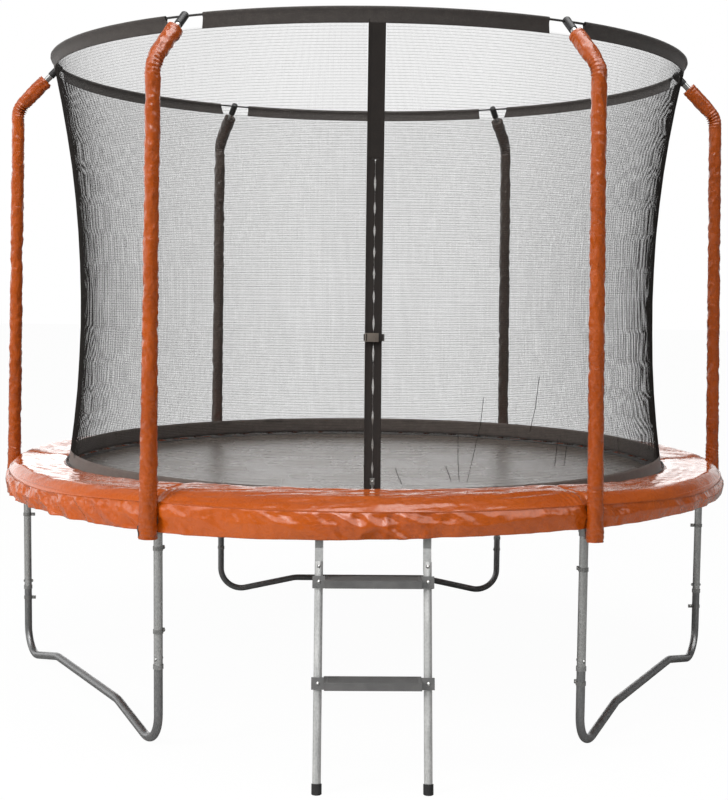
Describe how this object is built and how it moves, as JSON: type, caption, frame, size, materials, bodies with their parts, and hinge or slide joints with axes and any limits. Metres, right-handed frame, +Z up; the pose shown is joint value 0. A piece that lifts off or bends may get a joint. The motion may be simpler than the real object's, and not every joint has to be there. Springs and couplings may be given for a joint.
{
  "type": "trampoline",
  "caption": "Round garden trampoline with safety net on padded bent poles, orange spring pad, zipped entrance, W-shaped galvanised legs and a hook-on ladder.",
  "frame": {"origin": "on the ground, on the vertical axis through the middle of the mat", "axes": "+Z up, -Y towards the entrance and ladder, +X to the right of someone who faces the entrance"},
  "size_m": [3.1882, 3.3112, 2.6155],
  "materials": {
    "galvanised_tube": "hot-dip galvanised, satin",
    "galvanised_base": "hot-dip galvanised, satin",
    "galvanised_fitting": "galvanised, satin",
    "zinc_hardware": "zinc plated",
    "spring_wire": "zinc plated wire",
    "foam": "closed-cell polyethylene foam",
    "pvc_cover": "glossy coated PVC sheet",
    "jump_fabric": "woven polypropylene, slight sheen",
    "webbing": "woven polyester",
    "net_mesh": "fine knitted polyethylene net, see-through",
    "fibreglass_rod": "black coated fibreglass",
    "black_plastic": "moulded, satin",
    "grey_plastic": "moulded, satin",
    "zip_metal": "plated casting"
  },
  "bodies": {
    "frame": {"rail_1": "galvanised_tube", "rail_2": "galvanised_tube", "rail_3": "galvanised_tube", "rail_4": "galvanised_tube", "rail_5": "galvanised_tube", "rail_6": "galvanised_tube", "pole_1": "galvanised_tube", "pole_2": "galvanised_tube", "pole_3": "galvanised_tube", "pole_4": "galvanised_tube", "pole_5": "galvanised_tube", "pole_6": "galvanised_tube", "sleeve_1": "pvc_cover", "sleeve_2": "pvc_cover", "sleeve_3": "pvc_cover", "sleeve_4": "pvc_cover", "sleeve_5": "pvc_cover", "sleeve_6": "pvc_cover", "pole_foam": "foam", "pole_caps": "black_plastic", "pole_spacers": "black_plastic", "pole_bolts": "zinc_hardware", "t_sockets": "galvanised_fitting", "leg_tubes": "galvanised_tube", "leg_base_left": "galvanised_base", "leg_base_right": "galvanised_base", "leg_base_back": "galvanised_base", "joint_collars": "galvanised_fitting", "leg_bolts": "zinc_hardware", "leg_clamps": "grey_plastic", "clamp_screws": "zinc_hardware", "springs": "spring_wire", "pad_cover": "pvc_cover", "pad_foam": "foam", "pad_cords": "webbing", "ring_rods": "fibreglass_rod", "rod_ferrules": "galvanised_fitting", "net_top_band": "webbing", "net_panels": "net_mesh", "net_lower_band": "webbing", "entry_strip": "webbing", "zip_tape_left": "webbing", "zip_tape_right": "webbing", "buckle_socket": "grey_plastic", "buckle_webbing": "webbing"},
    "mat": {"mat": "jump_fabric", "mat_border": "webbing", "mat_rings": "zinc_hardware"},
    "zip_slider": {"zip_slider": "zip_metal"},
    "zip_pull": {"zip_pull": "zip_metal"},
    "buckle_plug": {"buckle_plug": "grey_plastic"},
    "ladder": {"ladder_rail_left": "galvanised_tube", "ladder_rail_right": "galvanised_tube", "ladder_step_lower": "grey_plastic", "ladder_step_upper": "grey_plastic", "step_clamps": "grey_plastic", "step_bolts": "zinc_hardware", "ladder_hooks": "galvanised_fitting", "hook_bolts": "zinc_hardware", "ladder_feet": "black_plastic"}
  },
  "joints": [
    {"name": "mat_bounce", "type": "slide", "parent": "frame", "child": "mat", "axis": [0, 0, 1], "range_m": [-0.15, 0], "stiffness_N_per_m": 3000, "springref_m": 0.08, "deforming": ["springs"]},
    {"name": "zip_slide", "type": "hinge", "parent": "frame", "child": "zip_slider", "pos_m": [0, -5.81588, 1.6], "axis": [1, 0, 0], "range_deg": [0, 14]},
    {"name": "zip_pull_swing", "type": "hinge", "parent": "zip_slider", "child": "zip_pull", "pos_m": [0, -1.29358, 0.96777], "axis": [-1, 0, 0], "range_deg": [0, 110]},
    {"name": "buckle_release", "type": "slide", "parent": "frame", "child": "buckle_plug", "axis": [1, 0, 0], "range_m": [0, 0.016]},
    {"name": "ladder_swing", "type": "hinge", "parent": "frame", "child": "ladder", "pos_m": [0, -1.49786, 0.86418], "axis": [-1, 0, 0], "range_deg": [0, 10]}
  ]
}
